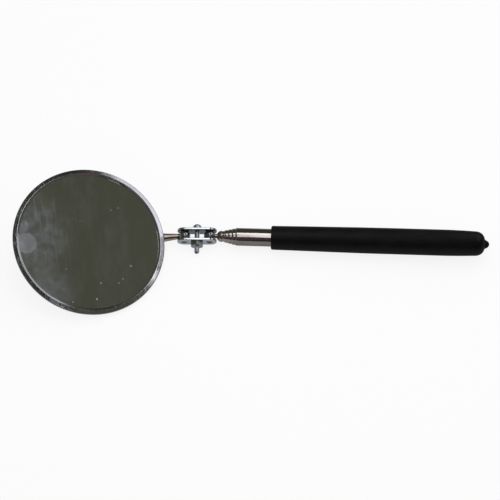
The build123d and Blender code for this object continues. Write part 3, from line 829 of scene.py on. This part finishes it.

# --- Floor ---------------------------------------------------------------------------------------
# A plain sheet that the mirror lies on. It shows white to the camera and keeps the object's shadow.
# In reflections it glows a dim grey, with a painted reflection that is paler under the clamp and the
# mirror.

lowest = min(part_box(node)[0].z for node in nodes)
sheet = bmesh.new()
bmesh.ops.create_grid(sheet, x_segments=1, y_segments=1, size=3.0)
bmesh.ops.translate(sheet, verts=sheet.verts, vec=(0, 0, lowest))
floor = bpy.data.objects.new("floor", bpy.data.meshes.new("floor"))
sheet.to_mesh(floor.data)
sheet.free()
bpy.context.scene.collection.objects.link(floor)

floor_paint = bpy.data.materials.new("floor_paint")
floor_paint.use_nodes = True
shader = floor_paint.node_tree.nodes["Principled BSDF"]
shader.inputs["Roughness"].default_value = 1.0
shader.inputs["Specular IOR Level"].default_value = 0.0
shader.inputs["Emission Strength"].default_value = 1.0
path = Wire(floor_paint.node_tree).node("ShaderNodeLightPath").socket.node
seen = Wire(floor_paint.node_tree, path.outputs["Is Camera Ray"])
mirrored = Wire(floor_paint.node_tree, path.outputs["Is Glossy Ray"])
through = Wire(floor_paint.node_tree, path.outputs["Is Transmission Ray"])
along = Wire(floor_paint.node_tree).node("ShaderNodeTexCoord", output="Object").split()[0]
reflected = (mirrored + through).maths("MINIMUM", mirrored + through, 1.0)
# Painted reflection: seen in metal and glass, the floor glows brighter under the clamp and the mirror
# than elsewhere.
painted_reflection_glow = reflected * along.between(-0.1, -0.112, 0.115, 0.25)
feed(
    floor_paint,
    Base_Color=seen.blend((0.18, 0.18, 0.18, 1), (0.16, 0.16, 0.16, 1)),
    Emission_Color=(seen * 0.86 + painted_reflection_glow).blend((0, 0, 0, 1), (1, 1, 1, 1)),
)
floor.data.materials.append(floor_paint)

# --- Light and camera ----------------------------------------------------------------------------
# A dim room with a paler doorway, seen only in reflections. Strips and lamps hang over the object, a
# window stands to one side, and a fill lights the floor softly. The camera looks down from the front.

world = bpy.data.worlds.new("studio")
world.use_nodes = True
bpy.context.scene.world = world
backdrop = world.node_tree.nodes["Background"]
path = Wire(world.node_tree).node("ShaderNodeLightPath").socket.node
direction = Wire(world.node_tree).node("ShaderNodeTexCoord", output="Generated")
x, y, z = direction.split()
flat = x * x + y * y
flat = flat.maths("SQRT", flat)
near_side = (y / flat).between(-0.5, -0.95) * flat.between(0.45, 0.6)
room = near_side.blend((0.068, 0.07, 0.0565, 1), (0.1, 0.077, 0.082, 1))
DOORWAY = (0.66, 0.2, 0.72)
doorway = direction.node(
    "ShaderNodeVectorMath", {0: direction, 1: DOORWAY}, output=1, operation="DOT_PRODUCT"
)
doorway = doorway.maths("POWER", doorway.maths("MAXIMUM", doorway, 0.0), 60.0)
dark_band = x.between(0.31, 0.2) * x.between(-0.15, 0.0)
room = dark_band.blend(room, (0.034, 0.034, 0.03, 1))
room = doorway.blend(room, (0.43, 0.43, 0.46, 1))
low = z.between(0.32, 0.12) * y.between(0.0, -0.5)
shade = low * 0.85 + z.between(0.4, 0.1) * 0.4 * (1 - low)
room = shade.blend(room, (0.012, 0.01, 0.008, 1))
sky = Wire(world.node_tree, path.outputs["Is Diffuse Ray"]).blend(room, (0.42, 0.42, 0.42, 1))
sky = Wire(world.node_tree, path.outputs["Is Camera Ray"]).blend(sky, (1, 1, 1, 1))
world.node_tree.links.new(sky.socket, backdrop.inputs["Color"])


def panel(name, centre, facing, width, length, radiance, colour=(1, 1, 1), shines=True):
    """A rectangular lamp, in millimetres, its width level, facing a point."""
    data = bpy.data.lights.new(name, "AREA")
    data.shape = "RECTANGLE"
    data.size = width * MM
    data.size_y = length * MM
    data.energy = radiance * math.pi * data.size * data.size_y
    data.color = colour
    lamp = bpy.data.objects.new(name, data)
    out = (Vector(centre) - Vector(facing)).normalized()
    side = Vector((0, 1, 0)).cross(out) if abs(out.z) > 0.9 else Vector((0, 0, 1)).cross(out)
    side.normalize()
    turn = Matrix((side, out.cross(side), out)).transposed().to_4x4()
    lamp.matrix_world = Matrix.Translation(Vector(centre) * MM) @ turn
    lamp.visible_camera = False
    lamp.visible_glossy = shines
    lamp.visible_transmission = shines
    bpy.context.scene.collection.objects.link(lamp)


panel("strip_far", (-108, 62, 400), (-108, 62, 0), 33, 156, 1.55)
panel("strip_middle", (-108, -78, 400), (-108, -78, 0), 33, 124, 1.15)
panel("strip_near", (-112, -250, 400), (-112, -250, 0), 60, 110, 1.0)
panel("strip_foot", (-95, -26, 60), (-95, -26, 0), 24, 10, 1.0)
panel("ceiling_lamp", (-158, 35, 400), (-158, 35, 0), 66, 160, 1.4)
panel("side_lamp", (291, 40, 600), (291, 40, 0), 148, 200, 1.5)
WINDOW_AIM = (-176, -16, 7)
DAYLIGHT = (0.97, 0.98, 1.06)
panel("window", (240, 385, 498), WINDOW_AIM, 470, 285, 0.76, DAYLIGHT)
panel("window_foot", (326, 486, 316), WINDOW_AIM, 700, 180, 0.38, DAYLIGHT)
panel("soft_fill", (-50, 100, 900), (-50, 0, 0), 700, 1100, 0.9, shines=False)

ELEVATION = math.radians(53.9211)
AZIMUTH = math.radians(0.9873)
ROLL = math.radians(1.9725)
OFFSET = (21.7752, -7.5513)
DISTANCE = 1539.846
HALF_VIEW = math.radians(5.0)
away = Vector(
    (
        math.sin(AZIMUTH) * math.cos(ELEVATION),
        -math.cos(AZIMUTH) * math.cos(ELEVATION),
        math.sin(ELEVATION),
    )
)
level = Vector((math.cos(AZIMUTH), math.sin(AZIMUTH), 0))
upright = away.cross(level)
right = level * math.cos(ROLL) + upright * math.sin(ROLL)
up = upright * math.cos(ROLL) - level * math.sin(ROLL)
lens = bpy.data.cameras.new("camera")
lens.sensor_width = 36.0
lens.lens = lens.sensor_width / 2 / math.tan(HALF_VIEW)
lens.clip_end = 20.0
camera = bpy.data.objects.new("camera", lens)
aim = ball_centres[1] + (right * OFFSET[0] + up * OFFSET[1]) * MM
camera.matrix_world = Matrix.Translation(aim + away * DISTANCE * MM) @ Matrix(
    (right, up, away)
).transposed().to_4x4()
bpy.context.scene.collection.objects.link(camera)
bpy.context.scene.camera = camera
bpy.context.scene.view_settings.view_transform = "Standard"
